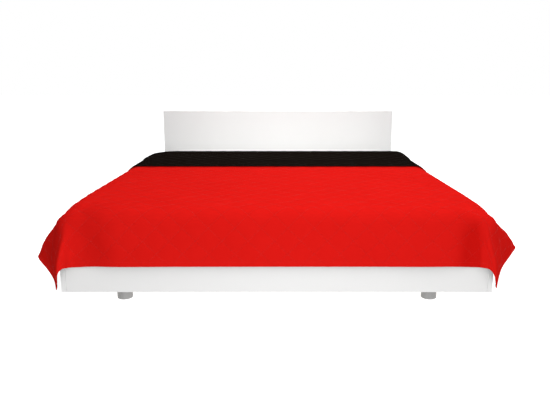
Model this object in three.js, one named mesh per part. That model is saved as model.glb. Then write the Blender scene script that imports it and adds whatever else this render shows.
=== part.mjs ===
import * as THREE from "three";

// A red quilted bedspread with a black reverse, spread over a plain low double bed.
// Its head end is turned down, so that the reverse shows as a band across the bed.
// Millimetres, +Z up, the foot of the bed toward -Y, the floor at Z = 0.

// Flat cut of the bedspread and its quilting
const spreadWidth = 2200;
const spreadLength = 2400;
const halfDiamondsAcross = 46;
const halfDiamondsAlong = 50;
const faceAtSeam = 1.6;
const facePuff = 1.8;
const reverseAtSeam = 1.4;
const reversePuff = 1.2;
const reverseGap = 0.35;
const reverseThickness = 1.4;

// Lie of the bedspread on the bed
const spreadShift = -8;
const spreadTop = 378;
const sideWall = 812;
const footWall = 10;
const footRadius = 50;
const cornerRadius = { left: 76, right: 88 };
const cornerSink = 13;
const cornerSinkReach = 60;
const cornerRecovery = 0.8;
const shoulderRadius = { left: 60, right: 74 };
const shoulderRun = 350;
const footFall = 237;
const bowSpan = 300;
const foldLine = 1610;
const foldRadius = 11;
const bandLift = 9;
const bandEase = 100;

// Bed
const bedWidth = 1600;
const boardThickness = 18;
const railBottom = 65;
const railTop = 188;
const headboardFront = 2061;
const headboardTop = 628;
const headboardThickness = 22;
const mattressHalfWidth = 795;
const mattressFoot = 5;
const mattressHead = 2046;
const mattressEdge = 118;
const mattressLowerEdge = 24;
const mattressCorner = 175;
const mattressClear = 0.8;
const footDiameter = 60;
const footAcross = 597;
const footInset = 120;
const footHeadInset = 150;
const seam = 0.3;

// How the overhang falls, followed from the middle of the foot round one corner to the fold.
// station 0 is the middle of the foot, 1 and 2 are the two ends of the corner, 3 is the fold.
// out and ahead are the lean of the hanging cloth from plumb, in degrees, sideways and footwards.
// bow is how far the hanging cloth swells out half-way down.
const fall = {
  left: [
    { station: 0.0, out: 0, ahead: 3, bow: 0 },
    { station: 0.5, out: 0, ahead: 3.5, bow: 0 },
    { station: 0.8, out: 0, ahead: 4.5, bow: 0 },
    { station: 0.95, out: 1.5, ahead: 1.5, bow: 0 },
    { station: 1.08, out: 6, ahead: 3, bow: 0 },
    { station: 1.16, out: 9.5, ahead: 3.5, bow: 0 },
    { station: 1.24, out: 10, ahead: 4, bow: 5 },
    { station: 1.32, out: 8.8, ahead: 3.5, bow: 11 },
    { station: 1.4, out: 7, ahead: 1.5, bow: 17 },
    { station: 1.46, out: 7, ahead: -4, bow: 20 },
    { station: 1.52, out: 9.3, ahead: -11.5, bow: 20 },
    { station: 1.63, out: 12.5, ahead: -22, bow: 16 },
    { station: 1.7, out: 16, ahead: -27, bow: 13 },
    { station: 1.77, out: 23.2, ahead: -30, bow: 11 },
    { station: 1.84, out: 30.5, ahead: -31, bow: 9 },
    { station: 1.93, out: 34, ahead: -31, bow: 8 },
    { station: 2.0, out: 34.5, ahead: -31, bow: 8 },
    { station: 2.05, out: 34.5, ahead: -29, bow: 7 },
    { station: 2.16, out: 30, ahead: -18.5, bow: 5 },
    { station: 2.3, out: 20.5, ahead: -10, bow: 3 },
    { station: 2.42, out: 14, ahead: -6, bow: 1 },
    { station: 2.6, out: 16, ahead: -3, bow: 0 },
    { station: 2.78, out: 12, ahead: -1, bow: 0 },
    { station: 3.0, out: 14, ahead: 0, bow: 0 },
  ],
  right: [
    { station: 0.0, out: 0, ahead: 3, bow: 0 },
    { station: 0.5, out: 0, ahead: 3, bow: 0 },
    { station: 0.78, out: 0, ahead: 4, bow: 0 },
    { station: 0.95, out: 2, ahead: 1.5, bow: 0 },
    { station: 1.08, out: 6.5, ahead: 3, bow: 0 },
    { station: 1.16, out: 10, ahead: 3.5, bow: 0 },
    { station: 1.24, out: 10.5, ahead: 4, bow: 6 },
    { station: 1.32, out: 9.3, ahead: 3.5, bow: 12 },
    { station: 1.41, out: 7.3, ahead: 1.5, bow: 20 },
    { station: 1.47, out: 7.5, ahead: -4.5, bow: 22 },
    { station: 1.53, out: 9.4, ahead: -12.5, bow: 22 },
    { station: 1.64, out: 13, ahead: -24, bow: 17 },
    { station: 1.75, out: 19.4, ahead: -31.5, bow: 13 },
    { station: 1.84, out: 29.2, ahead: -34.5, bow: 11 },
    { station: 1.93, out: 36, ahead: -35, bow: 9 },
    { station: 2.0, out: 39, ahead: -35, bow: 8 },
    { station: 2.05, out: 39.5, ahead: -33, bow: 7 },
    { station: 2.16, out: 35, ahead: -22, bow: 5 },
    { station: 2.3, out: 22.5, ahead: -11, bow: 3 },
    { station: 2.42, out: 14, ahead: -6, bow: 1 },
    { station: 2.62, out: 16, ahead: -3, bow: 0 },
    { station: 2.8, out: 12, ahead: -1, bow: 0 },
    { station: 3.0, out: 14, ahead: 0, bow: 0 },
  ],
};

const footStart = footRadius - footWall;
const turnStart = foldLine - footStart + footFall;
const turnLength = Math.PI * foldRadius;

function clamp01(value) {
  return Math.min(Math.max(value, 0), 1);
}

function smooth(value) {
  const x = clamp01(value);
  return x * x * (3 - 2 * x);
}

// Smooth curve through one column of the rows.
function through(rows, column, station) {
  let k = 0;
  while (k < rows.length - 2 && rows[k + 1].station < station) k += 1;
  const slope = (n) => {
    const a = rows[Math.max(n - 1, 0)];
    const b = rows[Math.min(n + 1, rows.length - 1)];
    return (b[column] - a[column]) / (b.station - a.station);
  };
  const span = rows[k + 1].station - rows[k].station;
  const u = clamp01((station - rows[k].station) / span);
  const rest = 1 - u;
  return (
    rest * rest * (1 + 2 * u) * rows[k][column] +
    u * u * (3 - 2 * u) * rows[k + 1][column] +
    span * u * rest * (rest * slope(k) - u * slope(k + 1))
  );
}

// Where the middle of the cloth lies: across and along are measured on the bed's top,
// cloth past the top's edge bends over the shoulder and then hangs, swelling out half-way
// down, and the top's two foot corners sink a little.
function place(across, along, lift) {
  const hand = across < 0 ? "left" : "right";
  const mirror = across < 0 ? -1 : 1;
  const reach = Math.abs(across);
  const eased = smooth((along - footStart) / shoulderRun);
  const corner = cornerRadius[hand];
  const sideRadius = corner + (shoulderRadius[hand] - corner) * eased;
  const flatHalf = sideWall - sideRadius;
  const past = Math.max(reach - flatHalf, 0);
  const ahead = Math.max(footStart - along, 0);
  const run = Math.hypot(past, ahead);
  const point = new THREE.Vector3(
    Math.min(reach, flatHalf),
    Math.max(along, footStart),
    spreadTop + lift,
  );
  let hanging = 0;
  if (run > 0) {
    const turn = Math.atan2(past, ahead);
    let station = 2 + clamp01((along - footStart) / (foldLine - footStart));
    if (ahead > 0) station = Math.min(reach / flatHalf, 1);
    if (ahead > 0 && past > 0) station = 1 + turn / (Math.PI / 2);
    const leanOut = THREE.MathUtils.degToRad(through(fall[hand], "out", station));
    const leanAhead = THREE.MathUtils.degToRad(through(fall[hand], "ahead", station));
    const lean = Math.max(Math.hypot(leanOut, leanAhead), 1e-6);
    const share = Math.sin(lean) / lean;
    const hang = new THREE.Vector3(leanOut * share, -leanAhead * share, -Math.cos(lean));
    const level = new THREE.Vector3(Math.sin(turn), -Math.cos(turn), 0);
    const bend = Math.acos(hang.dot(level));
    const radius =
      sideRadius * Math.sin(turn) ** 2 + footRadius * Math.cos(turn) ** 2 + lift;
    const bent = Math.min(run / radius, bend);
    const scale = radius / Math.sin(bend);
    point.addScaledVector(level, scale * (Math.cos(bend - bent) - Math.cos(bend)));
    hanging = Math.max(run - radius * bend, 0);
    point.addScaledVector(hang, scale * (1 - Math.cos(bent)) + hanging);
    const swell = (1 - Math.cos(2 * Math.PI * clamp01(hanging / bowSpan))) / 2;
    point.addScaledVector(level, swell * through(fall[hand], "bow", station));
  }
  const inward = Math.hypot(Math.max(flatHalf - reach, 0), Math.max(along - footStart, 0));
  const sunk = cornerSink * Math.exp(-((inward / cornerSinkReach) ** 2));
  point.z -= sunk * (1 - cornerRecovery * smooth(hanging / footFall));
  point.x *= mirror;
  return point;
}

// Follow the cloth from the foot hem: over the bed, round the fold, and back on top of itself.
function cloth(across, length) {
  const aside = across + spreadShift;
  if (length <= turnStart) return place(aside, footStart - footFall + length, 0);
  if (length <= turnStart + turnLength) {
    const angle = (length - turnStart) / foldRadius;
    const along = foldLine + foldRadius * Math.sin(angle);
    return place(aside, along, foldRadius * (1 - Math.cos(angle)));
  }
  const back = length - turnStart - turnLength;
  const settle = Math.exp(-back / bandEase);
  return place(aside, foldLine - back, bandLift + (2 * foldRadius - bandLift) * settle);
}

// Unit normal of the cloth, on the side of its red face.
function faceNormal(across, length) {
  const step = 1;
  const a = cloth(across + step, length).sub(cloth(across - step, length));
  const b = cloth(across, length + step).sub(cloth(across, length - step));
  return a.cross(b).normalize();
}

// Diamond quilting: 0 on the seams and at the hem, 1 in the middle of a diamond.
function puff(across, length) {
  const u = (across / spreadWidth) * (halfDiamondsAcross / 2);
  const v = (length / spreadLength) * (halfDiamondsAlong / 2);
  const sideHem = spreadWidth / 2 - Math.abs(across);
  const endHem = Math.min(length, spreadLength - length);
  const hem = smooth(Math.min(sideHem, endHem) / (spreadLength / halfDiamondsAlong));
  return hem * Math.abs(Math.sin(Math.PI * (u + v)) * Math.sin(Math.PI * (u - v)));
}

// Closed sheet between two heights measured along the cloth's normal.
function sheetGeometry(columns, rows, high, low) {
  const positions = [];
  const puffs = [];
  for (const height of [high, low]) {
    for (const length of rows) {
      for (const across of columns) {
        const raised = puff(across, length);
        const normal = faceNormal(across, length);
        const point = cloth(across, length).addScaledVector(normal, height(raised));
        positions.push(point.x, point.y, point.z);
        puffs.push(raised);
      }
    }
  }
  const width = columns.length;
  const layer = width * rows.length;
  const indices = [];
  const wall = (a, b) => indices.push(a, a + layer, b, b, a + layer, b + layer);
  for (let j = 0; j + 1 < rows.length; j += 1) {
    for (let i = 0; i + 1 < width; i += 1) {
      const a = j * width + i;
      const b = a + 1;
      const c = b + width;
      const d = a + width;
      const along = puffs[a] + puffs[c] <= puffs[b] + puffs[d];
      const faces = along ? [a, b, c, a, c, d] : [a, b, d, b, c, d];
      indices.push(...faces);
      indices.push(...faces.map((n) => n + layer).reverse());
    }
  }
  for (let i = 0; i + 1 < width; i += 1) {
    const last = (rows.length - 1) * width;
    wall(i, i + 1);
    wall(last + i + 1, last + i);
  }
  for (let j = 0; j + 1 < rows.length; j += 1) {
    wall((j + 1) * width, j * width);
    wall(j * width + width - 1, (j + 1) * width + width - 1);
  }
  const geometry = new THREE.BufferGeometry();
  geometry.setAttribute("position", new THREE.Float32BufferAttribute(positions, 3));
  geometry.setIndex(indices);
  geometry.computeVertexNormals();
  return geometry;
}

// Columns and rows of the sheet: every half diamond, with closer lines over the side and
// foot edges of the bed, counted in half diamonds, and round the fold.
const shoulderColumns = [15.5, 16.5, 17.5];
const footEdgeRows = [3.5, 4.5];
const foldMargin = 12;
const columnStep = spreadWidth / halfDiamondsAcross;
const rowStep = spreadLength / halfDiamondsAlong;
const columns = [];
for (let i = 0; i <= halfDiamondsAcross; i += 1) columns.push((i - halfDiamondsAcross / 2) * columnStep);
for (const count of shoulderColumns) columns.push(count * columnStep, -count * columnStep);
columns.sort((a, b) => a - b);
const rows = footEdgeRows.map((count) => count * rowStep);
for (let j = 0; j <= halfDiamondsAlong; j += 1) {
  const length = j * rowStep;
  const flat = length < turnStart - foldMargin || length > turnStart + turnLength + foldMargin;
  if (flat) rows.push(length);
}
for (const share of [0, 1 / 3, 2 / 3, 1]) rows.push(turnStart + share * turnLength);
rows.sort((a, b) => a - b);
const bandRows = rows.filter((length) => length > turnStart + turnLength / 4);

// Block with rounded upright corners whose rim is rounded above and below.
function softBlock(halfWidth, foot, head, bottom, top, corner, upperEdge, lowerEdge) {
  const levels = [];
  const steps = 6;
  for (let k = 0; k <= 2; k += 1) {
    const angle = (k / 2) * (Math.PI / 2);
    const inset = lowerEdge * (1 - Math.sin(angle));
    levels.push({ z: bottom + lowerEdge * (1 - Math.cos(angle)), inset });
  }
  for (let k = 0; k <= steps; k += 1) {
    const angle = (k / steps) * (Math.PI / 2);
    const inset = upperEdge * (1 - Math.cos(angle));
    levels.push({ z: top - upperEdge * (1 - Math.sin(angle)), inset });
  }
  const points = [];
  const perCorner = 6;
  const middle = (foot + head) / 2;
  const halfLength = (head - foot) / 2;
  const corners = [
    { x: 1, y: 1, from: 0 },
    { x: -1, y: 1, from: 1 },
    { x: -1, y: -1, from: 2 },
    { x: 1, y: -1, from: 3 },
  ];
  for (const { z, inset } of levels) {
    for (const { x, y, from } of corners) {
      for (let k = 0; k < perCorner; k += 1) {
        const angle = (from + k / (perCorner - 1)) * (Math.PI / 2);
        const radius = corner - inset;
        points.push(
          x * (halfWidth - corner) + radius * Math.cos(angle),
          middle + y * (halfLength - corner) + radius * Math.sin(angle),
          z,
        );
      }
    }
  }
  const ring = corners.length * perCorner;
  const indices = [];
  for (let level = 0; level + 1 < levels.length; level += 1) {
    for (let k = 0; k < ring; k += 1) {
      const a = level * ring + k;
      const b = level * ring + ((k + 1) % ring);
      indices.push(a, b, b + ring, a, b + ring, a + ring);
    }
  }
  const lid = (levels.length - 1) * ring;
  for (let k = 1; k + 1 < ring; k += 1) {
    indices.push(0, k + 1, k);
    indices.push(lid, lid + k, lid + k + 1);
  }
  const geometry = new THREE.BufferGeometry();
  geometry.setAttribute("position", new THREE.Float32BufferAttribute(points, 3));
  geometry.setIndex(indices);
  geometry.computeVertexNormals();
  return geometry;
}

const bed = new THREE.Group();

function add(name, geometry, color, roughness, metalness = 0) {
  const material = new THREE.MeshStandardMaterial({ color, roughness, metalness });
  const mesh = new THREE.Mesh(geometry, material);
  mesh.name = name;
  bed.add(mesh);
  return mesh;
}

// Box from its two opposite corners.
function board(name, from, to, color) {
  const size = to.map((value, axis) => value - from[axis]);
  const mesh = add(name, new THREE.BoxGeometry(...size), color, 0.5);
  mesh.position.set(...from.map((value, axis) => value + size[axis] / 2));
}

const white = 0xeeeeec;
const plainBoard = 0xdcdad5;
const footGrey = 0x9c9c9c;
const coverWhite = 0xf3f2ef;
const quiltRed = 0xd81a16;
const quiltBlack = 0x191413;
const half = bedWidth / 2;
const inner = half - boardThickness - seam;
const railHead = headboardFront - seam;
const headboardBack = headboardFront + headboardThickness;

board("headboard", [-half, headboardFront, railBottom], [half, headboardBack, headboardTop], white);
board("side_rail_left", [-half, 0, railBottom], [-half + boardThickness, railHead, railTop], white);
board("side_rail_right", [half - boardThickness, 0, railBottom], [half, railHead, railTop], white);
board("foot_rail", [-inner, 0, railBottom], [inner, boardThickness, railTop], white);
board("bed_base", [-inner, boardThickness + seam, railBottom], [inner, railHead, railTop], plainBoard);

// Round feet under the base.
for (const [name, x, y] of [
  ["bed_foot_front_left", -footAcross, footInset],
  ["bed_foot_front_right", footAcross, footInset],
  ["bed_foot_back_left", -footAcross, headboardFront - footHeadInset],
  ["bed_foot_back_right", footAcross, headboardFront - footHeadInset],
]) {
  const height = railBottom - seam;
  const geometry = new THREE.CylinderGeometry(footDiameter / 2, footDiameter / 2, height, 32);
  const mesh = add(name, geometry, footGrey, 0.45);
  mesh.rotation.x = Math.PI / 2;
  mesh.position.set(x, y, height / 2);
}

const mattressTop = spreadTop - reverseAtSeam - reversePuff - mattressClear;
add(
  "mattress",
  softBlock(
    mattressHalfWidth,
    mattressFoot,
    mattressHead,
    railTop + seam,
    mattressTop,
    mattressCorner,
    mattressEdge,
    mattressLowerEdge,
  ),
  coverWhite,
  0.9,
);

// The quilt in one piece, its red face raised between the quilting seams.
add(
  "bedspread",
  sheetGeometry(
    columns,
    rows,
    (raised) => faceAtSeam + facePuff * raised,
    (raised) => -reverseAtSeam - reversePuff * raised,
  ),
  quiltRed,
  0.8,
);

// The black reverse, where the turned-down end shows it.
add(
  "bedspread_reverse",
  sheetGeometry(
    columns,
    bandRows,
    (raised) => -reverseAtSeam - reversePuff * raised - reverseGap,
    (raised) => -reverseAtSeam - reversePuff * raised - reverseGap - reverseThickness,
  ),
  quiltBlack,
  0.8,
);

// Origin on the floor, under the middle of the whole.
bed.updateMatrixWorld(true);
const middle = new THREE.Box3().setFromObject(bed).getCenter(new THREE.Vector3());
for (const mesh of bed.children) {
  mesh.position.x -= middle.x;
  mesh.position.y -= middle.y;
}

export default bed;
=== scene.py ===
import math
from collections import namedtuple

import bmesh
import bpy
import numpy as np
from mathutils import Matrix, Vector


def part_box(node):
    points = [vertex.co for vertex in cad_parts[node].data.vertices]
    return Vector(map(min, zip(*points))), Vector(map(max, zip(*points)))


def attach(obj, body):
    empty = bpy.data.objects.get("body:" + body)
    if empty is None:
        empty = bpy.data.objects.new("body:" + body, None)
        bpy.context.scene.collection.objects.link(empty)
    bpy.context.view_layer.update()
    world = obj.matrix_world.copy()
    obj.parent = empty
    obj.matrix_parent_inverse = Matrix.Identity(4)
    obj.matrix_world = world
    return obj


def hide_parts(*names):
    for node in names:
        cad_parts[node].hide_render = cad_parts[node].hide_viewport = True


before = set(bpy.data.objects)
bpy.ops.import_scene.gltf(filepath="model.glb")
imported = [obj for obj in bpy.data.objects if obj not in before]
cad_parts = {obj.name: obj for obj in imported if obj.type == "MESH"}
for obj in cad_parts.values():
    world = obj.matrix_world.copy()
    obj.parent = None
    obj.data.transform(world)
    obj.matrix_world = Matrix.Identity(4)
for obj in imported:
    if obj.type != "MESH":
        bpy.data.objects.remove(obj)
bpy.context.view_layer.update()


# Feet: four short round feet, moulded in grey plastic, each with a softened rim.
# They are screwed up into the base, a little way in from its corners.
foot_nodes = ("bed_foot_front_left", "bed_foot_front_right", "bed_foot_back_left", "bed_foot_back_right")
foot_rim = 0.0035
foot_rim_steps = 5
foot_sides = 72


def feed(tree, source, target):
    """Link a socket to a target socket, or set the target to a plain value."""
    if isinstance(source, bpy.types.NodeSocket):
        tree.links.new(source, target)
    else:
        target.default_value = source


def work_out(tree, operation, *values):
    """Math node on sockets and numbers."""
    node = tree.nodes.new("ShaderNodeMath")
    node.operation = operation
    for socket, value in zip(node.inputs, values):
        feed(tree, value, socket)
    return node.outputs[0]


def between(tree, share, first, second):
    """Colour that goes from the first to the second as the share goes from 0 to 1."""
    node = tree.nodes.new("ShaderNodeMix")
    node.data_type = "RGBA"
    colours = [socket for socket in node.inputs if socket.type == "RGBA"]
    feed(tree, share, node.inputs["Factor"])
    feed(tree, first, colours[0])
    feed(tree, second, colours[1])
    return next(socket for socket in node.outputs if socket.type == "RGBA")


def noise(tree, place, scale, detail):
    """Even noise from 0 to 1."""
    node = tree.nodes.new("ShaderNodeTexNoise")
    feed(tree, place, node.inputs["Vector"])
    feed(tree, scale, node.inputs["Scale"])
    node.inputs["Detail"].default_value = detail
    return node.outputs["Fac"]


def relief(tree, height, distance, under=None):
    """Normal of a surface raised by height times distance, on top of another relief if there is one."""
    node = tree.nodes.new("ShaderNodeBump")
    node.inputs["Distance"].default_value = distance
    feed(tree, height, node.inputs["Height"])
    if under is not None:
        feed(tree, under, node.inputs["Normal"])
    return node.outputs["Normal"]


def new_group(family, name, inputs, outputs):
    """Shader or geometry group with named inputs and outputs, each of its own kind."""
    tree = bpy.data.node_groups.new(name, family)
    for way, sockets in (("INPUT", inputs), ("OUTPUT", outputs)):
        for label, kind in sockets.items():
            tree.interface.new_socket(name=label, in_out=way, socket_type="NodeSocket" + kind)
    start = tree.nodes.new("NodeGroupInput")
    end = tree.nodes.new("NodeGroupOutput")
    return tree, start.outputs, end.inputs


def use_group(tree, group, **values):
    """Place a group in a material and set or link its inputs."""
    node = tree.nodes.new("ShaderNodeGroup")
    node.node_tree = group
    for label, value in values.items():
        feed(tree, value, node.inputs[label])
    return node.outputs


def new_finish(name):
    """Material with its node tree and its surface shader."""
    material = bpy.data.materials.new(name)
    material.use_nodes = True
    return material, material.node_tree, material.node_tree.nodes["Principled BSDF"]


def object_place(tree):
    """Place on the piece in metres."""
    return tree.nodes.new("ShaderNodeTexCoord").outputs["Object"]


def add_piece(name, mesh, *materials):
    """Finished mesh as a piece of the bed, with its place in its vertices."""
    for material in materials:
        mesh.materials.append(material)
    piece = bpy.data.objects.new(name, mesh)
    bpy.context.scene.collection.objects.link(piece)
    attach(piece, "root")
    return piece


def surface_grain():
    """Fine grain of a moulded or lacquered surface, and the slow change of tone across it."""
    grain_detail = 3.0
    patch_detail = 2.0
    tree, inputs, outputs = new_group(
        "ShaderNodeTree",
        "surface_grain",
        {"Place": "Vector", "Grains": "Float", "Patches": "Float"},
        {"Height": "Float", "Tone": "Float"},
    )
    feed(tree, noise(tree, inputs["Place"], inputs["Grains"], grain_detail), outputs["Height"])
    feed(tree, noise(tree, inputs["Place"], inputs["Patches"], patch_detail), outputs["Tone"])
    return tree


grain_group = surface_grain()


def smooth_finish(name, dark, light, patches, grains, grain_height, rough, rough_more):
    """Moulded or lacquered surface: a fine grain, and patches where tone and gloss change slowly."""
    material, tree, shader = new_finish(name)
    grain = use_group(tree, grain_group, Place=object_place(tree), Grains=grains, Patches=patches)
    feed(tree, between(tree, grain["Tone"], dark, light), shader.inputs["Base Color"])
    roughness = work_out(tree, "MULTIPLY_ADD", grain["Tone"], rough_more, rough)
    feed(tree, roughness, shader.inputs["Roughness"])
    feed(tree, relief(tree, grain["Height"], grain_height), shader.inputs["Normal"])
    return material


def turned_foot(name, node, material):
    """Round foot between the floor and the base, its rims softened."""
    low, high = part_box(node)
    middle = (low + high) / 2
    radius = (high.x - low.x) / 2
    turns = [side / foot_sides * 2 * math.pi for side in range(foot_sides)]
    profile = []
    for step in range(foot_rim_steps + 1):
        angle = step / foot_rim_steps * math.pi / 2
        inset = foot_rim * (1 - math.sin(angle))
        profile.append((radius - inset, low.z + foot_rim * (1 - math.cos(angle))))
    profile += [(ring, low.z + high.z - height) for ring, height in reversed(profile)]
    shape = bmesh.new()
    rings = []
    for ring, height in profile:
        spots = [(middle.x + ring * math.cos(t), middle.y + ring * math.sin(t), height) for t in turns]
        rings.append([shape.verts.new(spot) for spot in spots])
    for lower, upper in zip(rings, rings[1:]):
        for side in range(foot_sides):
            after = (side + 1) % foot_sides
            shape.faces.new((lower[side], lower[after], upper[after], upper[side])).smooth = True
    shape.faces.new(list(reversed(rings[0])))
    shape.faces.new(rings[-1])
    mesh = bpy.data.meshes.new(name)
    shape.to_mesh(mesh)
    shape.free()
    return add_piece(name, mesh, material)


grey_foot_plastic = smooth_finish(
    "grey_foot_plastic",
    dark=(0.360, 0.360, 0.365, 1.0),
    light=(0.420, 0.420, 0.420, 1.0),
    patches=40.0,
    grains=900.0,
    grain_height=0.0002,
    rough=0.38,
    rough_more=0.16,
)
for node in foot_nodes:
    foot = turned_foot(node + "_turned", node, grey_foot_plastic)
    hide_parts(node)


# Base: the closed base inside the rails, of plain unlacquered board.
# It carries the mattress, and only its underside and its top at the mattress's corners can be seen.
chip_light = (0.74, 0.70, 0.62, 1.0)
chip_dark = (0.56, 0.50, 0.41, 1.0)
chip_grains = 420.0
chip_patches = 150.0
chip_height = 0.0004
chip_rough = 0.8


def plain_board():
    """Bare board of light and dark chips."""
    material, tree, shader = new_finish("plain_base_board")
    place = object_place(tree)
    grain = use_group(tree, grain_group, Place=place, Grains=chip_grains, Patches=chip_patches)
    chips = work_out(tree, "MULTIPLY", grain["Tone"], grain["Height"])
    feed(tree, between(tree, chips, chip_dark, chip_light), shader.inputs["Base Color"])
    shader.inputs["Roughness"].default_value = chip_rough
    feed(tree, relief(tree, grain["Height"], chip_height), shader.inputs["Normal"])
    return material


base_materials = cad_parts["bed_base"].data.materials
base_materials.clear()
base_materials.append(plain_board())


# Rails and headboard: flat boards in white satin lacquer, their edges eased.
# The foot rail stands between the ends of the side rails, and the headboard closes the head.
board_nodes = ("foot_rail", "side_rail_left", "side_rail_right", "headboard")
board_ease = 0.0014
board_ease_steps = 3


def eased_board(name, node, material):
    """Board that fills its node's box, with every edge rounded over."""
    low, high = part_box(node)
    shape = bmesh.new()
    bmesh.ops.create_cube(shape, size=1.0)
    for corner in shape.verts:
        share = [0.5 + axis for axis in corner.co]
        corner.co = [a + (b - a) * s for a, b, s in zip(low, high, share)]
    rounded = bmesh.ops.bevel(
        shape,
        geom=shape.edges[:],
        offset=board_ease,
        segments=board_ease_steps,
        profile=0.5,
        affect="EDGES",
    )
    for face in rounded["faces"]:
        face.smooth = True
    mesh = bpy.data.meshes.new(name)
    shape.to_mesh(mesh)
    shape.free()
    return add_piece(name, mesh, material)


white_satin_lacquer = smooth_finish(
    "white_satin_lacquer",
    dark=(0.90, 0.898, 0.892, 1.0),
    light=(0.93, 0.93, 0.925, 1.0),
    patches=3.0,
    grains=260.0,
    grain_height=0.00012,
    rough=0.36,
    rough_more=0.12,
)
for node in board_nodes:
    board = eased_board(node + "_board", node, white_satin_lacquer)
    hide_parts(node)


# Mattress: a low foam mattress in a white woven cover, its border joined to the panels
# by two piped seams. It shows between the fold of the bedspread and the headboard.
mattress_low, mattress_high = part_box("mattress")
mattress_middle = (mattress_low + mattress_high) / 2
mattress_edge = 0.118
mattress_lower_edge = 0.024
mattress_corner = 0.175
mattress_least_corner = 0.004
mattress_cells = 132
mattress_flat_share = 0.80
mattress_edge_share = 0.90
mattress_wall_share = 0.97
mattress_map_span = 3.0
cover_sag = 0.0022
sag_waves = (7.0, 9.0)
sag_starts = (0.6, 1.1)
sag_fade = 0.2
piping_radius = 0.0035
piping_sides = 10
piping_steps = 80
upper_piping_share = 0.9
lower_piping_share = 1.4
cover_thread = 0.0011
cover_thread_height = 0.00025
cover_rough = 0.9
cover_sheen = 0.12
cover_white = (0.87, 0.862, 0.845, 1.0)
cover_shade = (0.80, 0.79, 0.77, 1.0)
tiny = 1e-9


def cloth_weave():
    """Plain weave over a flat cut in metres: Height is 0 between threads, Tone drifts over the cloth."""
    slubs = 700.0
    slub_detail = 2.0
    slub_height = 0.5
    tone_patches = 5.0
    tone_detail = 4.0
    tree, inputs, outputs = new_group(
        "ShaderNodeTree",
        "cloth_weave",
        {"Place": "Vector", "Thread": "Float"},
        {"Height": "Float", "Tone": "Float"},
    )
    parts = tree.nodes.new("ShaderNodeSeparateXYZ")
    feed(tree, inputs["Place"], parts.inputs[0])
    turn = work_out(tree, "DIVIDE", math.pi, inputs["Thread"])
    waves = [work_out(tree, "SINE", work_out(tree, "MULTIPLY", parts.outputs[k], turn)) for k in (0, 1)]
    weave = work_out(tree, "ABSOLUTE", work_out(tree, "MULTIPLY", *waves))
    slub = noise(tree, inputs["Place"], slubs, slub_detail)
    feed(tree, work_out(tree, "MULTIPLY_ADD", slub, slub_height, weave), outputs["Height"])
    feed(tree, noise(tree, inputs["Place"], tone_patches, tone_detail), outputs["Tone"])
    return tree


weave_group = cloth_weave()


def flat_cut_place(tree, size):
    """Place on the flat cut in metres, from the piece's own map, which spans size metres."""
    lay = tree.nodes.new("ShaderNodeUVMap")
    lay.uv_map = "flat_cut"
    spread = tree.nodes.new("ShaderNodeMapping")
    spread.inputs["Scale"].default_value = (size, size, size)
    feed(tree, lay.outputs[0], spread.inputs["Vector"])
    return spread.outputs[0]


def lay_flat_cut(mesh, flat, size):
    """Map that holds where each vertex lies on the flat cut."""
    lay = mesh.uv_layers.new(name="flat_cut")
    corner = np.zeros(len(mesh.loops), np.int32)
    mesh.loops.foreach_get("vertex_index", corner)
    lay.data.foreach_set("uv", (flat[corner] / size).astype(np.float32).ravel())


def mattress_profile(reach):
    """Inset, height and way over the surface, from the middle of the top (0) to the underside (1)."""
    drop = np.clip((reach - mattress_flat_share) / (mattress_edge_share - mattress_flat_share), 0, 1)
    wall = np.clip((reach - mattress_edge_share) / (mattress_wall_share - mattress_edge_share), 0, 1)
    under = np.clip((reach - mattress_wall_share) / (1 - mattress_wall_share), 0, 1)
    over = drop * math.pi / 2
    tuck = under * math.pi / 2
    wall_top = mattress_high.z - mattress_edge
    wall_run = wall_top - mattress_low.z - mattress_lower_edge
    inset = mattress_edge * (1 - np.sin(over)) + mattress_lower_edge * (1 - np.cos(tuck))
    height = mattress_high.z - mattress_edge * (1 - np.cos(over)) - wall * wall_run
    height = height - mattress_lower_edge * np.sin(tuck)
    way = mattress_edge * over + wall * wall_run + mattress_lower_edge * tuck
    return inset, height, way


def mattress_outline(across, along, inset, reach):
    """Point of the mattress's plan: rectangles on the flat top, round corners where it falls away."""
    half_width = (mattress_high.x - mattress_low.x) / 2
    half_length = (mattress_high.y - mattress_low.y) / 2
    half = np.stack([half_width - inset, half_length - inset])
    flat = np.minimum(reach / mattress_flat_share, 1.0)
    spot = np.stack([across, along]) / np.maximum(reach, tiny) * half * flat
    corner = np.maximum(mattress_corner - inset, mattress_least_corner) * flat
    core = half * flat - corner
    past = spot - np.clip(spot, -core, core)
    length = np.maximum(np.hypot(*past), tiny)
    square = np.maximum(*np.abs(past))
    return spot - past + past * square / length


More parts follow.
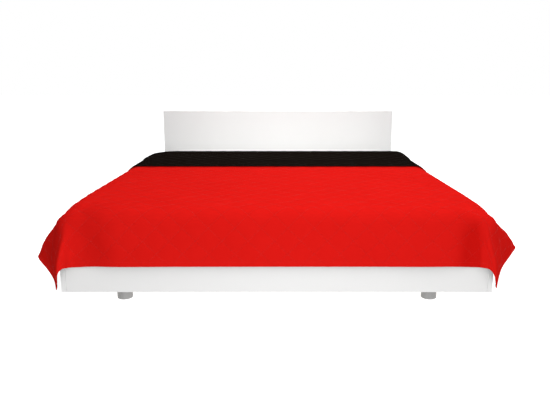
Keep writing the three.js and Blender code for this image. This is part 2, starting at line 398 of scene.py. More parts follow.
def mattress_mesh():
    """Closed cover: one square grid drawn over the top, the edges and the walls, and its underside."""
    steps = np.linspace(-1, 1, mattress_cells + 1)
    across, along = (grid.ravel() for grid in np.meshgrid(steps, steps))
    reach = np.maximum(np.abs(across), np.abs(along))
    inset, height, way = mattress_profile(reach)
    plan = mattress_outline(across, along, inset, reach)
    waves = [np.sin(side * wave + start) for side, wave, start in zip(plan, sag_waves, sag_starts)]
    sag = waves[0] * waves[1] - 1.0
    from_edge = np.clip(1 - reach / mattress_flat_share, 0, sag_fade)
    height = height + cover_sag / 2 * sag * from_edge / sag_fade
    points = np.stack([mattress_middle.x + plan[0], mattress_middle.y + plan[1], height], 1)
    count = mattress_cells + 1
    index = np.arange(count * count).reshape(count, count)
    faces = np.stack([index[:-1, :-1], index[:-1, 1:], index[1:, 1:], index[1:, :-1]], -1).reshape(-1, 4)
    rim = [*index[0, :-1], *index[:-1, -1], *index[-1, :0:-1], *index[:0:-1, 0]]
    mesh = bpy.data.meshes.new("mattress_cover")
    mesh.from_pydata(points.tolist(), [], faces.tolist() + [[int(k) for k in reversed(rim)]])
    mesh.shade_smooth()
    outward = np.stack([across, along]) / np.maximum(reach, tiny)
    lay_flat_cut(mesh, (plan + outward * way).T + mattress_map_span / 2, mattress_map_span)
    return mesh


def woven_cover():
    """White weave, its tone drifting a little."""
    material, tree, shader = new_finish("white_mattress_cover")
    place = flat_cut_place(tree, mattress_map_span)
    weave = use_group(tree, weave_group, Place=place, Thread=cover_thread)
    feed(tree, between(tree, weave["Tone"], cover_shade, cover_white), shader.inputs["Base Color"])
    shader.inputs["Roughness"].default_value = cover_rough
    shader.inputs["Sheen Weight"].default_value = cover_sheen
    feed(tree, relief(tree, weave["Height"], cover_thread_height), shader.inputs["Normal"])
    return material


def piping_tree():
    """Geometry nodes: a round tube along each line of the input."""
    tree, start, end = new_group(
        "GeometryNodeTree",
        "piped_seam",
        {"Seams": "Geometry", "Radius": "Float", "Cover": "Material"},
        {"Piping": "Geometry"},
    )
    line = tree.nodes.new("GeometryNodeMeshToCurve")
    section = tree.nodes.new("GeometryNodeCurvePrimitiveCircle")
    tube = tree.nodes.new("GeometryNodeCurveToMesh")
    solid = tree.nodes.new("GeometryNodeRealizeInstances")
    paint = tree.nodes.new("GeometryNodeSetMaterial")
    section.inputs["Resolution"].default_value = piping_sides
    feed(tree, start["Seams"], line.inputs["Mesh"])
    feed(tree, start["Radius"], section.inputs["Radius"])
    feed(tree, line.outputs["Curve"], tube.inputs["Curve"])
    feed(tree, section.outputs["Curve"], tube.inputs["Profile Curve"])
    feed(tree, tube.outputs["Mesh"], solid.inputs["Geometry"])
    feed(tree, solid.outputs["Geometry"], paint.inputs["Geometry"])
    feed(tree, start["Cover"], paint.inputs["Material"])
    feed(tree, paint.outputs["Geometry"], end["Piping"])
    return tree


def grown_mesh(name, points, edges, tree, values):
    """Plain mesh that a geometry nodes tree makes along lines."""
    lines = bpy.data.meshes.new(name + "_lines")
    lines.from_pydata(points, edges, [])
    carrier = bpy.data.objects.new(name + "_lines", lines)
    bpy.context.scene.collection.objects.link(carrier)
    maker = carrier.modifiers.new("maker", "NODES")
    maker.node_group = tree
    for socket in tree.interface.items_tree:
        if socket.in_out == "INPUT" and socket.name in values:
            maker[socket.identifier] = values[socket.name]
    made = carrier.evaluated_get(bpy.context.evaluated_depsgraph_get())
    mesh = bpy.data.meshes.new_from_object(made)
    bpy.data.objects.remove(carrier)
    bpy.data.meshes.remove(lines)
    mesh.name = name
    mesh.shade_smooth()
    return mesh


def piping_lines():
    """The two seams round the border, just outside its wall."""
    points = []
    edges = []
    side = np.linspace(-1, 1, piping_steps + 1)[:-1]
    ones = np.ones_like(side)
    across = np.concatenate([side, ones, -side, -ones])
    along = np.concatenate([-ones, side, ones, -side])
    count = len(across)
    plan = mattress_outline(across, along, np.zeros(count), np.ones(count))
    upper_seam = mattress_high.z - mattress_edge * upper_piping_share
    lower_seam = mattress_low.z + mattress_lower_edge * lower_piping_share
    for height in (upper_seam, lower_seam):
        first = len(points)
        points += [(mattress_middle.x + x, mattress_middle.y + y, height) for x, y in plan.T]
        edges += [(first + k, first + (k + 1) % count) for k in range(count)]
    return points, edges


white_mattress_cover = woven_cover()
mattress_pad = add_piece("mattress_pad", mattress_mesh(), white_mattress_cover)
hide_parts("mattress")
seam_points, seam_edges = piping_lines()
piping_values = {"Radius": piping_radius, "Cover": white_mattress_cover}
piping_mesh = grown_mesh("mattress_piping", seam_points, seam_edges, piping_tree(), piping_values)
mattress_piping = add_piece("mattress_piping", piping_mesh)


# Bedspread: two layers of brushed microfibre, red over black, quilted in diamonds on a thin
# wadding and hemmed all round. It lies over the mattress, falls over the foot and both sides,
# and its head end is turned down so that the black side shows as a band.
spread_width = 2.200
spread_length = 2.400
half_diamonds_across = 46
half_diamonds_along = 50
steps_per_half_diamond = 4
face_at_seam = 0.0016
face_puff = 0.0018
reverse_at_seam = 0.0014
reverse_puff = 0.0012
puff_roundness = 0.85
hem_width = 0.018
hem_build = 0.0005
hem_round = 0.0045
hem_step_start = 0.003
hem_step_run = 0.004
hem_lines = (0.0, 0.0006, 0.0018, hem_round, 0.010, 0.0162, hem_width, 0.0198)
spread_shift = -0.008
spread_top = 0.378
side_wall = 0.812
foot_wall = 0.010
foot_radius = 0.050
left_corner = 0.076
right_corner = 0.088
corner_sink = 0.013
corner_sink_reach = 0.060
corner_recovery = 0.8
left_shoulder = 0.060
right_shoulder = 0.074
shoulder_run = 0.350
foot_fall = 0.237
bow_span = 0.300
fold_line = 1.610
fold_radius = 0.011
fold_steps = 9
fold_margin = 0.002
band_lift = 0.009
band_ease = 0.100
band_hem_drop = 0.0025
band_hem_run = 0.060
foot_start = foot_radius - foot_wall
turn_start = fold_line - foot_start + foot_fall
turn_length = math.pi * fold_radius
band_length = spread_length - turn_start - turn_length
diamond_width = 2 * spread_width / half_diamonds_across
diamond_length = 2 * spread_length / half_diamonds_along
bed_middle = (mattress_low.x + mattress_high.x) / 2
foot_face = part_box("foot_rail")[0].y
probe = 0.001
least_lean = 1e-6

# How the overhang falls, from the middle of the foot (station 0) round the corner (1 to 2)
# to the fold (3). Out and ahead are the lean of the hanging cloth from plumb, in degrees, and
# bow is how far it swells out half-way down, in millimetres.
Fall = namedtuple("Fall", "station out ahead bow")
mm_per_metre = 1000
fall_left = [
    Fall(0.00, 0, 3.0, 0),
    Fall(0.50, 0, 3.5, 0),
    Fall(0.80, 0, 4.5, 0),
    Fall(0.95, 1.5, 1.5, 0),
    Fall(1.08, 6, 3.0, 0),
    Fall(1.16, 9.5, 3.5, 0),
    Fall(1.24, 10, 4.0, 5),
    Fall(1.32, 8.8, 3.5, 11),
    Fall(1.40, 7, 1.5, 17),
    Fall(1.46, 7, -4.0, 20),
    Fall(1.52, 9.3, -11.5, 20),
    Fall(1.63, 12.5, -22.0, 16),
    Fall(1.70, 16, -27.0, 13),
    Fall(1.77, 23.2, -30.0, 11),
    Fall(1.84, 30.5, -31.0, 9),
    Fall(1.93, 34, -31.0, 8),
    Fall(2.00, 34.5, -31.0, 8),
    Fall(2.05, 34.5, -29.0, 7),
    Fall(2.16, 30, -18.5, 5),
    Fall(2.30, 20.5, -10.0, 3),
    Fall(2.42, 14, -6.0, 1),
    Fall(2.60, 16, -3.0, 0),
    Fall(2.78, 12, -1.0, 0),
    Fall(3.00, 14, 0.0, 0),
]
fall_right = [
    Fall(0.00, 0, 3.0, 0),
    Fall(0.50, 0, 3.0, 0),
    Fall(0.78, 0, 4.0, 0),
    Fall(0.95, 2, 1.5, 0),
    Fall(1.08, 6.5, 3.0, 0),
    Fall(1.16, 10, 3.5, 0),
    Fall(1.24, 10.5, 4.0, 6),
    Fall(1.32, 9.3, 3.5, 12),
    Fall(1.41, 7.3, 1.5, 20),
    Fall(1.47, 7.5, -4.5, 22),
    Fall(1.53, 9.4, -12.5, 22),
    Fall(1.64, 13, -24.0, 17),
    Fall(1.75, 19.4, -31.5, 13),
    Fall(1.84, 29.2, -34.5, 11),
    Fall(1.93, 36, -35.0, 9),
    Fall(2.00, 39, -35.0, 8),
    Fall(2.05, 39.5, -33.0, 7),
    Fall(2.16, 35, -22.0, 5),
    Fall(2.30, 22.5, -11.0, 3),
    Fall(2.42, 14, -6.0, 1),
    Fall(2.62, 16, -3.0, 0),
    Fall(2.80, 12, -1.0, 0),
    Fall(3.00, 14, 0.0, 0),
]

# Soft ridges (rise above 0) and troughs in the lie of the cloth, each a straight line from one
# place to another. Across and along run over the bed's top and on past its edges. The flutes of
# the left and the right side come first, then the foot corners, the shoulders by the fold and
# the slight unevenness of the top.
Crease = namedtuple("Crease", "across along to_across to_along width rise")
creases = [
    Crease(-0.80, 0.66, -1.16, 0.70, 0.060, -0.007),
    Crease(-0.80, 0.84, -1.16, 0.86, 0.055, 0.008),
    Crease(-0.80, 1.04, -1.16, 1.02, 0.060, -0.007),
    Crease(-0.80, 1.22, -1.16, 1.24, 0.055, 0.007),
    Crease(-0.80, 1.40, -1.16, 1.42, 0.060, -0.006),
    Crease(0.80, 0.60, 1.16, 0.64, 0.060, 0.007),
    Crease(0.80, 0.79, 1.16, 0.80, 0.055, -0.008),
    Crease(0.80, 0.98, 1.16, 0.95, 0.060, 0.007),
    Crease(0.80, 1.17, 1.16, 1.18, 0.055, -0.007),
    Crease(0.80, 1.37, 1.16, 1.36, 0.060, 0.006),
    Crease(-0.72, 0.10, -0.705, -0.28, 0.065, -0.016),
    Crease(0.720, 0.10, 0.715, -0.28, 0.045, -0.018),
    Crease(-0.80, 1.42, -0.75, 1.80, 0.065, -0.010),
    Crease(-0.68, 1.55, -0.96, 1.52, 0.026, 0.007),
    Crease(-0.70, 1.46, -0.96, 1.44, 0.026, 0.006),
    Crease(0.70, 1.52, 0.96, 1.50, 0.030, 0.006),
    Crease(-0.72, 0.10, -0.42, 0.44, 0.055, 0.0022),
    Crease(-0.78, 0.22, -0.52, 0.52, 0.050, -0.0007),
    Crease(0.72, 0.12, 0.46, 0.50, 0.055, 0.0022),
    Crease(0.79, 0.26, 0.55, 0.60, 0.050, -0.0007),
    Crease(-0.30, 0.30, -0.12, 0.92, 0.110, 0.0016),
    Crease(0.14, 0.26, 0.30, 0.86, 0.120, -0.0007),
    Crease(-0.58, 0.70, -0.36, 1.10, 0.090, -0.0007),
    Crease(0.50, 0.62, 0.62, 1.12, 0.090, 0.0012),
]

# Painted shade beside the corner folds: strips of the deeper colour laid where the folds shade the
# cloth, placed as the ridges and troughs are. Shade is the share of the deeper colour.
PaintedShadeStrip = namedtuple("PaintedShadeStrip", "across along to_across to_along width shade")
painted_shade_strips = [
    PaintedShadeStrip(-0.66, 0.06, -0.60, -0.36, 0.045, 0.25),
    PaintedShadeStrip(0.712, 0.06, 0.68, -0.36, 0.036, 0.95),
    PaintedShadeStrip(0.724, 0.06, 0.728, -0.36, 0.020, 0.90),
]


def ease(value):
    """Smooth step from 0 to 1."""
    share = np.clip(value, 0.0, 1.0)
    return share * share * (3.0 - 2.0 * share)


def fall_curve(rows, column, station):
    """Smooth curve through one column of a fall table."""
    at = np.array([row.station for row in rows])
    value = np.array([getattr(row, column) for row in rows], float)
    order = np.arange(len(at))
    before = np.maximum(order - 1, 0)
    after = np.minimum(order + 1, len(at) - 1)
    slope = (value[after] - value[before]) / (at[after] - at[before])
    row = np.clip(np.searchsorted(at, station) - 1, 0, len(at) - 2)
    span = at[row + 1] - at[row]
    share = np.clip((station - at[row]) / span, 0.0, 1.0)
    rest = 1.0 - share
    level = rest**2 * (1 + 2 * share) * value[row] + share**2 * (3 - 2 * share) * value[row + 1]
    return level + span * share * rest * (rest * slope[row] - share * slope[row + 1])


def lie(across, along, lift):
    """Where the middle of the cloth lies: past the top's edge it bends over the shoulder and hangs."""
    left = across < 0
    reach = np.abs(across)
    corner = np.where(left, left_corner, right_corner)
    shoulder = np.where(left, left_shoulder, right_shoulder)
    side_radius = corner + (shoulder - corner) * ease((along - foot_start) / shoulder_run)
    flat_half = side_wall - side_radius
    past = np.maximum(reach - flat_half, 0.0)
    ahead = np.maximum(foot_start - along, 0.0)
    run = np.hypot(past, ahead)
    turn = np.where(run > 0, np.arctan2(past, np.where(run > 0, ahead, 1.0)), 0.0)
    station = 2 + np.clip((along - foot_start) / (fold_line - foot_start), 0.0, 1.0)
    station = np.where(ahead > 0, np.minimum(reach / flat_half, 1.0), station)
    station = np.where((ahead > 0) & (past > 0), 1 + turn / (math.pi / 2), station)
    fall = {}
    for column in ("out", "ahead", "bow"):
        both = [fall_curve(rows, column, station) for rows in (fall_left, fall_right)]
        fall[column] = np.where(left, *both)
    lean_out = np.radians(fall["out"])
    lean_ahead = np.radians(fall["ahead"])
    lean = np.maximum(np.hypot(lean_out, lean_ahead), least_lean)
    share = np.sin(lean) / lean
    hang = np.stack([lean_out * share, -lean_ahead * share, -np.cos(lean)], -1)
    level = np.stack([np.sin(turn), -np.cos(turn), np.zeros_like(turn)], -1)
    bend = np.arccos((hang * level).sum(-1))
    radius = side_radius * np.sin(turn) ** 2 + foot_radius * np.cos(turn) ** 2 + lift
    bent = np.minimum(run / radius, bend)
    scale = radius / np.sin(bend)
    spot = np.stack([np.minimum(reach, flat_half), np.maximum(along, foot_start), spread_top + lift], -1)
    spot = spot + level * (scale * (np.cos(bend - bent) - np.cos(bend)))[:, None]
    hanging = np.maximum(run - radius * bend, 0.0)
    spot = spot + hang * (scale * (1 - np.cos(bent)) + hanging)[:, None]
    swell = (1 - np.cos(2 * math.pi * np.minimum(hanging / bow_span, 1.0))) / 2
    spot = spot + level * (fall["bow"] / mm_per_metre * swell)[:, None]
    inward = np.hypot(np.maximum(flat_half - reach, 0.0), np.maximum(along - foot_start, 0.0))
    sunk = corner_sink * np.exp(-((inward / corner_sink_reach) ** 2))
    spot[:, 2] -= sunk * (1 - corner_recovery * ease(hanging / foot_fall))
    spot[:, 0] *= np.where(left, -1.0, 1.0)
    return spot


def plain_lie(across, along):
    """Where the cloth lies with nothing under it but the bed."""
    return lie(across, along, np.zeros_like(across))


def square_to(cloth, across, along):
    """Way straight out of the cloth, on the side of its red face."""
    a = cloth(across + probe, along) - cloth(across - probe, along)
    b = cloth(across, along + probe) - cloth(across, along - probe)
    normal = np.cross(a, b)
    return normal / np.linalg.norm(normal, axis=-1, keepdims=True)


def soft_lines(rows, column, across, along):
    """Sum of one column over all the lines at a place, each fading to its sides and its ends."""
    total = np.zeros_like(across)
    for row in rows:
        start = np.array([row.across, row.along])
        line = np.array([row.to_across, row.to_along]) - start
        length = np.hypot(*line)
        line = line / length
        way = (across - start[0]) * line[0] + (along - start[1]) * line[1]
        off = (across - start[0]) * line[1] - (along - start[1]) * line[0]
        ends = np.sin(math.pi * np.clip(way / length, 0.0, 1.0)) ** 2
        total = total + getattr(row, column) * ends * np.exp(-((off / row.width) ** 2))
    return total


def drape(across, length):
    """Follow the cloth from the foot hem: over the bed, round the fold, and back on top of itself."""
    turned = np.clip((length - turn_start) / fold_radius, 0.0, math.pi)
    back = np.maximum(length - turn_start - turn_length, 0.0)
    over = foot_start - foot_fall + length
    along = np.where(length <= turn_start, over, fold_line + fold_radius * np.sin(turned) - back)
    settled = band_lift + (2 * fold_radius - band_lift) * np.exp(-back / band_ease)
    settled = settled - band_hem_drop * ease(1 - (band_length - back) / band_hem_run)
    lift = np.where(back > 0, settled, fold_radius * (1 - np.cos(turned)))
    aside = across + spread_shift
    spot = lie(aside, along, lift)
    out = square_to(plain_lie, aside, np.minimum(along, fold_line - fold_margin))
    spot = spot + out * soft_lines(creases, "rise", aside, along)[:, None]
    return spot + np.array([bed_middle, foot_face, 0.0])


def hem_distance(across, length):
    """Way to the nearest cut edge."""
    ends = np.minimum(length, spread_length - length)
    return np.minimum(spread_width / 2 - np.abs(across), ends)


def puff(across, length):
    """Diamond quilting: 0 on the seams and at the hem, 1 in the middle of a diamond."""
    u = across / spread_width * half_diamonds_across / 2
    v = length / spread_length * half_diamonds_along / 2
    swell = np.abs(np.sin(math.pi * (u + v)) * np.sin(math.pi * (u - v))) ** puff_roundness
    from_hem = hem_distance(across, length) - hem_width
    return swell * ease(from_hem / (spread_length / half_diamonds_along))


def hem_shape(across, length):
    """Share of the full thickness, rounded off at the cut edge, and the build-up of the turned hem."""
    inside = hem_distance(across, length)
    edge = np.clip(inside / hem_round, 0.0, 1.0)
    rounded = np.sqrt(1 - (1 - edge) ** 2)
    build = hem_build * (1 - ease((inside - hem_width + hem_step_start) / hem_step_run))
    return rounded, build


def cloth_lines(extent, count, extra=()):
    """Grid lines from 0 to extent: even steps, and closer ones at both hems and where extra ones are."""
    step = extent / count
    near_hem = 1.2 * hem_width
    near_extra = step / 3
    even = [k * step for k in range(count + 1)]
    hems = [*hem_lines, *(extent - line for line in hem_lines)]
    kept = [line for line in even if near_hem < line < extent - near_hem]
    if extra:
        kept = [line for line in kept if not extra[0] - near_extra < line < extra[-1] + near_extra]
    return np.array(sorted([*hems, *kept, *extra]))


def bedspread_mesh():
    """Closed sheet: the face and the reverse on one grid of the flat cut, joined along the hem."""
    turn_lines = [turn_start + share / fold_steps * turn_length for share in range(fold_steps + 1)]
    columns = cloth_lines(spread_width, half_diamonds_across * steps_per_half_diamond) - spread_width / 2
    rows = cloth_lines(spread_length, half_diamonds_along * steps_per_half_diamond, turn_lines)
    across, length = (grid.ravel() for grid in np.meshgrid(columns, rows))
    middle = drape(across, length)
    normal = square_to(drape, across, length)
    swell = puff(across, length)
    rounded, build = hem_shape(across, length)
    face = middle + normal * (rounded * (face_at_seam + face_puff * swell + build))[:, None]
    reverse = middle - normal * (rounded * (reverse_at_seam + reverse_puff * swell + build))[:, None]
    index = np.arange(len(across)).reshape(len(rows), len(columns))
    inner = np.zeros(index.shape, bool)
    inner[1:-1, 1:-1] = True
    under = index.copy()
    under[inner] = len(across) + np.arange(inner.sum())
    points = np.concatenate([face, reverse[inner.ravel()]])
    flat = np.stack([across + spread_width / 2, length], 1)
    flat = np.concatenate([flat, flat[inner.ravel()]])
    a, b, c, d = index[:-1, :-1], index[:-1, 1:], index[1:, 1:], index[1:, :-1]
    along_ac = (swell[a] + swell[c] <= swell[b] + swell[d])[..., None]
    first = np.where(along_ac, np.stack([a, b, c], -1), np.stack([a, b, d], -1)).reshape(-1, 3)
    second = np.where(along_ac, np.stack([a, c, d], -1), np.stack([b, c, d], -1)).reshape(-1, 3)
    top = np.concatenate([first, second])
    bottom = under.ravel()[top][:, ::-1]
    mesh = bpy.data.meshes.new("bedspread_cloth")
    mesh.from_pydata(points.tolist(), [], np.concatenate([top, bottom]).tolist())
    mesh.shade_smooth()
    lay_flat_cut(mesh, flat, spread_length)
    side = np.repeat([0, 1], [len(top), len(bottom)]).astype(np.int32)
    mesh.polygons.foreach_set("material_index", side)
    # Painted shade of the corner folds, kept on the points of both layers for the material.
    painted_shade_share = soft_lines(painted_shade_strips, "shade", across + spread_shift, foot_start - foot_fall + length)
    painted_fold_shade = mesh.attributes.new("painted_fold_shade", "FLOAT", "POINT")
    painted_fold_shade.data.foreach_set("value", np.concatenate([painted_shade_share, painted_shade_share[inner.ravel()]]))
    return mesh


def bell(tree, distance, width):
    """1 where the distance is 0, fading out over the width."""
    off = work_out(tree, "DIVIDE", distance, width)
    square = work_out(tree, "MULTIPLY", off, off)
    return work_out(tree, "EXPONENT", work_out(tree, "MULTIPLY", square, -1.0))


def quilt_lines():
    """Stitched valleys on the flat cut: Seam is 1 in a valley, Pucker holds the gathers beside it."""
    seam_share = 0.05
    gather_share = 0.16
    gathers_per_diamond = 6
    wander_patches = 26.0
    wander_detail = 2.0
    wander_reach = 9.0
    tree, inputs, outputs = new_group(
        "ShaderNodeTree",
        "quilt_lines",
        {"Place": "Vector", "Diamond Width": "Float", "Diamond Length": "Float"},
        {"Seam": "Float", "Pucker": "Float"},
    )
    parts = tree.nodes.new("ShaderNodeSeparateXYZ")
    feed(tree, inputs["Place"], parts.inputs[0])
    u = work_out(tree, "DIVIDE", parts.outputs[0], inputs["Diamond Width"])
    v = work_out(tree, "DIVIDE", parts.outputs[1], inputs["Diamond Length"])
    ways = [work_out(tree, "ADD", u, v), work_out(tree, "SUBTRACT", u, v)]
    gaps = [work_out(tree, "PINGPONG", way, 0.5) for way in ways]
    nearest = work_out(tree, "MINIMUM", *gaps)
    feed(tree, bell(tree, nearest, seam_share), outputs["Seam"])
    drift = noise(tree, inputs["Place"], wander_patches, wander_detail)
    wander = work_out(tree, "MULTIPLY", drift, wander_reach)
    gathers = []
    for way, gap in zip(reversed(ways), gaps):
        phase = work_out(tree, "MULTIPLY_ADD", way, 2 * math.pi * gathers_per_diamond, wander)
        fade = bell(tree, gap, gather_share)
        gathers.append(work_out(tree, "MULTIPLY", work_out(tree, "SINE", phase), fade))
    feed(tree, work_out(tree, "ADD", *gathers), outputs["Pucker"])
    return tree


quilt_group = quilt_lines()
microfibre_thread = 0.0008
microfibre_thread_height = 0.00006
microfibre_rough = 0.72
microfibre_rough_more = 0.15
microfibre_sheen_rough = 0.4
tone_least = -0.15
tone_range = 0.5
seam_painted_shade = 0.10
seam_depth = 0.0003
pucker_share = 0.35


def microfibre(name, body, valley, sheen_tint, sheen):
    """Brushed microfibre with painted shade in the quilting valleys and along the corner folds, and
    gathers beside each seam.
    """
    material, tree, shader = new_finish(name)
    corner_place = flat_cut_place(tree, spread_length)
    shift = tree.nodes.new("ShaderNodeVectorMath")
    shift.operation = "SUBTRACT"
    shift.inputs[1].default_value = (spread_width / 2, 0.0, 0.0)
    feed(tree, corner_place, shift.inputs[0])
    place = shift.outputs[0]
    diamonds = {"Place": place, "Diamond Width": diamond_width, "Diamond Length": diamond_length}
    quilting = use_group(tree, quilt_group, **diamonds)
    weave = use_group(tree, weave_group, Place=place, Thread=microfibre_thread)
    drift = work_out(tree, "MULTIPLY_ADD", weave["Tone"], tone_range, tone_least)
    # Painted shade along the corner folds, read from the points and added to the drift of tone.
    painted_fold_shade = tree.nodes.new("ShaderNodeAttribute")
    painted_fold_shade.attribute_name = "painted_fold_shade"
    painted_shade_share = work_out(tree, "ADD", painted_fold_shade.outputs["Fac"], drift)
    # Painted shade in the quilting valleys, on top of the fold shade and the drift of tone.
    shade = work_out(tree, "MULTIPLY_ADD", quilting["Seam"], seam_painted_shade, painted_shade_share)
    feed(tree, between(tree, shade, body, valley), shader.inputs["Base Color"])
    rough = work_out(tree, "MULTIPLY_ADD", weave["Tone"], microfibre_rough_more, microfibre_rough)
    feed(tree, rough, shader.inputs["Roughness"])
    shader.inputs["Specular IOR Level"].default_value = 0.0
    shader.inputs["Sheen Weight"].default_value = sheen
    shader.inputs["Sheen Roughness"].default_value = microfibre_sheen_rough
    shader.inputs["Sheen Tint"].default_value = sheen_tint
    gathered = work_out(tree, "MULTIPLY", quilting["Pucker"], pucker_share)
    sunk = work_out(tree, "MULTIPLY_ADD", quilting["Seam"], -1.0, gathered)
    quilted = relief(tree, sunk, seam_depth)
    woven = relief(tree, weave["Height"], microfibre_thread_height, quilted)
    feed(tree, woven, shader.inputs["Normal"])
    return material


# On both layers the valley colour is the darker colour of the painted shade in the seams and along the
# folds.
red_face = microfibre(
    "red_microfibre",
    body=(0.80, 0.0118, 0.0090, 1.0),
    valley=(0.66, 0.0075, 0.0055, 1.0),
    sheen_tint=(1.0, 0.05, 0.04, 1.0),
    sheen=0.02,
)
black_reverse = microfibre(
    "black_microfibre",
    body=(0.0085, 0.0056, 0.0044, 1.0),
    valley=(0.0055, 0.0038, 0.0030, 1.0),
    sheen_tint=(0.5, 0.35, 0.3, 1.0),
    sheen=0.004,
)
bedspread = add_piece("bedspread_cloth", bedspread_mesh(), red_face, black_reverse)
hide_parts("bedspread", "bedspread_reverse")


# Quilting thread: spun thread in running stitches, in the valleys between the diamonds and in one
# row along the hem. Red thread shows on the red face up to the band, and black thread on the band.
stitch_pitch = 0.0090
stitch_length = 0.0066
thread_radius = 0.00042
thread_rise = 0.0001
thread_sides = 4
thread_rings = 3
thread_grains = 1500.0
thread_patches = 30.0
thread_rough = 0.55
path_step = 0.006
fewest_places = 3
seam_margin = hem_width + path_step
red_under_band = 0.03
black_turn_share = 1 / 3


def stitch_tree():
    """Geometry nodes: a spindle of thread at every stitch of each line of the input."""
    measures = ("Stitch Pitch", "Stitch Length", "Thread Radius")
    tree, start, end = new_group(
        "GeometryNodeTree",
        "row_of_stitches",
        {"Seams": "Geometry", **dict.fromkeys(measures, "Float"), "Thread": "Material"},
        {"Stitches": "Geometry"},
    )
    line = tree.nodes.new("GeometryNodeMeshToCurve")
    spaced = tree.nodes.new("GeometryNodeResampleCurve")
    spindle = tree.nodes.new("GeometryNodeMeshUVSphere")
    tangent = tree.nodes.new("GeometryNodeInputTangent")
    turned = tree.nodes.new("FunctionNodeAlignRotationToVector")
    half = tree.nodes.new("ShaderNodeMath")
    size = tree.nodes.new("ShaderNodeCombineXYZ")
    place = tree.nodes.new("GeometryNodeInstanceOnPoints")
    solid = tree.nodes.new("GeometryNodeRealizeInstances")
    paint = tree.nodes.new("GeometryNodeSetMaterial")
    spaced.mode = "LENGTH"
    spindle.inputs["Segments"].default_value = thread_sides
    spindle.inputs["Rings"].default_value = thread_rings
    spindle.inputs["Radius"].default_value = 1.0
    turned.axis = "Z"
    half.operation = "MULTIPLY"
    half.inputs[1].default_value = 0.5
    feed(tree, start["Seams"], line.inputs["Mesh"])
    feed(tree, line.outputs["Curve"], spaced.inputs["Curve"])
    feed(tree, start["Stitch Pitch"], spaced.inputs["Length"])
    feed(tree, start["Stitch Length"], half.inputs[0])
    feed(tree, start["Thread Radius"], size.inputs["X"])
    feed(tree, start["Thread Radius"], size.inputs["Y"])
    feed(tree, half.outputs[0], size.inputs["Z"])
    feed(tree, tangent.outputs["Tangent"], turned.inputs["Vector"])
    feed(tree, spaced.outputs["Curve"], place.inputs["Points"])
    feed(tree, spindle.outputs["Mesh"], place.inputs["Instance"])
    feed(tree, turned.outputs["Rotation"], place.inputs["Rotation"])
    feed(tree, size.outputs["Vector"], place.inputs["Scale"])
    feed(tree, place.outputs["Instances"], solid.inputs["Geometry"])
    feed(tree, solid.outputs["Geometry"], paint.inputs["Geometry"])
    feed(tree, start["Thread"], paint.inputs["Material"])
    feed(tree, paint.outputs["Geometry"], end["Stitches"])
    return tree


def quilting_paths(first_length, last_length):
    """Both sets of slanting seams, as runs of places on the flat cut between two lengths."""
    length = np.arange(first_length, last_length, path_step)
    v = length / diamond_length
    widest = int(half_diamonds_across / 2 + half_diamonds_along)
    paths = []
    for number in range(-widest, widest + 1):
        for slant in (-1, 1):
            across = (number + slant * v) * diamond_width
            inside = np.abs(across) < spread_width / 2 - seam_margin
            if inside.sum() >= fewest_places:
                paths.append((across[inside], length[inside]))
    return paths


def hem_paths(first_length, last_length, end_length):
    """The hem's row of stitches: down both sides and across the end that shows."""
    inset = spread_width / 2 - hem_width
    length = np.arange(first_length, last_length, path_step)
    across = np.arange(-inset, inset, path_step)
    sides = [(np.full_like(length, hand * inset), length) for hand in (-1, 1)]
    return sides + [(across, np.full_like(across, end_length))]


def stitched(name, paths, rise, tree, material):
    """Rows of stitches that lie on one side of the cloth."""
    points = []
    edges = []
    for across, length in paths:
        spots = drape(across, length) + square_to(drape, across, length) * rise
        first = len(points)
        points += spots.tolist()
        edges += [(first + k, first + k + 1) for k in range(len(spots) - 1)]
    values = {
        "Stitch Pitch": stitch_pitch,
        "Stitch Length": stitch_length,
        "Thread Radius": thread_radius,
        "Thread": material,
    }
    return add_piece(name, grown_mesh(name, points, edges, tree, values))


def spun_thread(name, light, dark):
    """Thread of light and dark fibres."""
    material, tree, shader = new_finish(name)
    place = object_place(tree)
    grain = use_group(tree, grain_group, Place=place, Grains=thread_grains, Patches=thread_patches)
    feed(tree, between(tree, grain["Height"], dark, light), shader.inputs["Base Color"])
    shader.inputs["Roughness"].default_value = thread_rough
    return material


stitches = stitch_tree()
red_thread = spun_thread(
    "red_thread", light=(0.78, 0.013, 0.010, 1.0), dark=(0.62, 0.008, 0.006, 1.0)
)
black_thread = spun_thread(
    "black_thread", light=(0.012, 0.010, 0.010, 1.0), dark=(0.006, 0.005, 0.005, 1.0)
)
red_end = turn_start - band_length + red_under_band
red_paths = quilting_paths(seam_margin, red_end) + hem_paths(hem_width, red_end, hem_width)
red_rise = face_at_seam + thread_rise
red_stitching = stitched("quilting_thread_red", red_paths, red_rise, stitches, red_thread)
black_start = turn_start + turn_length * black_turn_share
black_end = spread_length - hem_width
black_paths = quilting_paths(black_start, spread_length - seam_margin)
black_paths += hem_paths(black_start, black_end, black_end)
black_rise = -reverse_at_seam - thread_rise
black_stitching = stitched("quilting_thread_black", black_paths, black_rise, stitches, black_thread)


# Studio: a plain white floor that glows faintly, a wide hoop of soft light that stands round the bed
# from foot to head and that the camera doesn't see, a lamp for the headboard and a white surround,
# a little brighter on the right. The camera stands beyond the foot.
white = (1.0, 1.0, 1.0, 1.0)
floor_size = 60.0
floor_white = (0.90, 0.90, 0.90, 1.0)
floor_shade = (0.88, 0.88, 0.88, 1.0)
floor_grains = 30.0
floor_patches = 1.0
floor_rough = 0.9
floor_glow = 0.90
hoop_sides = 96
hoop_from_foot = 1.0
hoop_height = 0.3
hoop_half_length = 2.6
hoop_half_height = 2.3
hoop_width = 1.0
hoop_top_aside = 0.35
hoop_strength = 1.56
hoop_top_more = 1.42
lamp_from_headboard = 1.0
lamp_height = 1.5
lamp_aim_height = 0.48
lamp_width = 1.4
lamp_depth = 0.3
lamp_spread = math.radians(60)
lamp_power = 1.2
surround_strength = 0.51
surround_to_right = 0.40
photo_width = 550
focal_pixels = 583.0
vanishing_column = 279.2
camera_aside = 0.009
camera_ahead = 2.0523
camera_height = 0.8328
camera_pitch = math.radians(12.10)


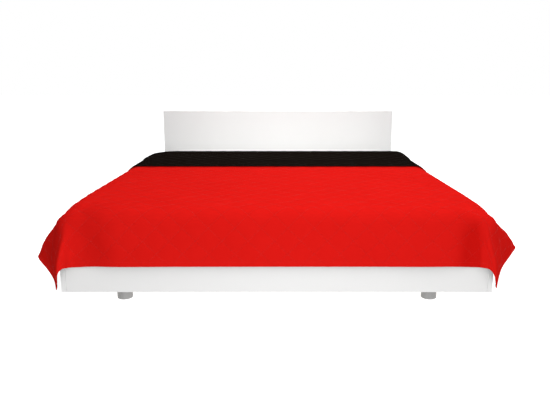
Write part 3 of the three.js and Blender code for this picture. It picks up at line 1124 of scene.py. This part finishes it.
def pale_floor():
    """White floor with a faint glow of its own."""
    material, tree, shader = new_finish("pale_floor")
    place = object_place(tree)
    grain = use_group(tree, grain_group, Place=place, Grains=floor_grains, Patches=floor_patches)
    feed(tree, between(tree, grain["Tone"], floor_shade, floor_white), shader.inputs["Base Color"])
    shader.inputs["Roughness"].default_value = floor_rough
    shader.inputs["Specular IOR Level"].default_value = 0.0
    shader.inputs["Emission Color"].default_value = white
    shader.inputs["Emission Strength"].default_value = floor_glow
    return material


half_floor = floor_size / 2
floor_mesh = bpy.data.meshes.new("studio_floor")
floor_hands = ((-1, -1), (1, -1), (1, 1), (-1, 1))
floor_corners = [(x * half_floor, y * half_floor, 0.0) for x, y in floor_hands]
floor_mesh.from_pydata(floor_corners, [], [(0, 1, 2, 3)])
floor_mesh.materials.append(pale_floor())
floor = bpy.data.objects.new("studio_floor", floor_mesh)
# The hoop's lower half shines up through the floor, in place of light thrown back by it.
floor.visible_diffuse = False
floor.visible_shadow = False
bpy.context.scene.collection.objects.link(floor)


def hoop_glow():
    """Light of the hoop, stronger towards its top."""
    material = bpy.data.materials.new("hoop_glow")
    material.use_nodes = True
    tree = material.node_tree
    tree.nodes.clear()
    place = tree.nodes.new("ShaderNodeSeparateXYZ")
    feed(tree, object_place(tree), place.inputs[0])
    above = work_out(tree, "MAXIMUM", place.outputs["Z"], 0.0)
    rise = work_out(tree, "DIVIDE", above, hoop_height + hoop_half_height)
    steep_rise = work_out(tree, "MULTIPLY", rise, rise)
    strength = work_out(tree, "MULTIPLY_ADD", steep_rise, hoop_top_more, hoop_strength)
    light = tree.nodes.new("ShaderNodeEmission")
    feed(tree, strength, light.inputs["Strength"])
    end = tree.nodes.new("ShaderNodeOutputMaterial")
    feed(tree, light.outputs["Emission"], end.inputs["Surface"])
    return material


def hoop_mesh():
    """Flat band bent round the bed; its top stands a little to the right."""
    turn = np.arange(hoop_sides) * 2 * math.pi / hoop_sides
    aside = bed_middle + hoop_top_aside * np.maximum(np.sin(turn), 0.0)
    along = foot_face + hoop_from_foot - hoop_half_length * np.cos(turn)
    height = hoop_height + hoop_half_height * np.sin(turn)
    edges = [np.stack([aside + hand * hoop_width / 2, along, height], 1) for hand in (-1, 1)]
    near = np.arange(hoop_sides)
    after = np.roll(near, -1)
    faces = np.stack([near, after, after + hoop_sides, near + hoop_sides], 1)
    mesh = bpy.data.meshes.new("light_hoop")
    mesh.from_pydata(np.concatenate(edges).tolist(), [], faces.tolist())
    mesh.materials.append(hoop_glow())
    return mesh


hoop = bpy.data.objects.new("light_hoop", hoop_mesh())
hoop.visible_camera = False
bpy.context.scene.collection.objects.link(hoop)

board_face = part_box("headboard")[0].y
lamp = bpy.data.lights.new("headboard_lamp", "AREA")
lamp.shape = "RECTANGLE"
lamp.size = lamp_width
lamp.size_y = lamp_depth
lamp.spread = lamp_spread
lamp.energy = lamp_power
headboard_lamp = bpy.data.objects.new("headboard_lamp", lamp)
headboard_lamp.location = (bed_middle, board_face - lamp_from_headboard, lamp_height)
lamp_tilt = math.atan2(lamp_from_headboard, lamp_height - lamp_aim_height)
headboard_lamp.rotation_euler = (lamp_tilt, 0.0, 0.0)
headboard_lamp.visible_camera = False
bpy.context.scene.collection.objects.link(headboard_lamp)

surround = bpy.data.worlds.new("white_surround")
surround.use_nodes = True
bpy.context.scene.world = surround
sky = surround.node_tree
glow = sky.nodes["Background"]
glow.inputs["Color"].default_value = white
toward = sky.nodes.new("ShaderNodeSeparateXYZ")
feed(sky, sky.nodes.new("ShaderNodeTexCoord").outputs["Generated"], toward.inputs[0])
more_on_right = surround_strength * surround_to_right
soft_light = work_out(sky, "MULTIPLY_ADD", toward.outputs["X"], more_on_right, surround_strength)
seen = sky.nodes.new("ShaderNodeLightPath").outputs["Is Camera Ray"]
feed(sky, work_out(sky, "MAXIMUM", soft_light, seen), glow.inputs["Strength"])

lens = bpy.data.cameras.new("photo_camera")
lens.sensor_width = 36.0
lens.lens = focal_pixels / photo_width * lens.sensor_width
lens.shift_x = (photo_width / 2 - vanishing_column) / photo_width
camera = bpy.data.objects.new("photo_camera", lens)
camera.location = (bed_middle + camera_aside, foot_face - camera_ahead, camera_height)
camera.rotation_euler = (math.pi / 2 - camera_pitch, 0.0, 0.0)
bpy.context.scene.collection.objects.link(camera)
bpy.context.scene.camera = camera
bpy.context.scene.view_settings.view_transform = "Standard"
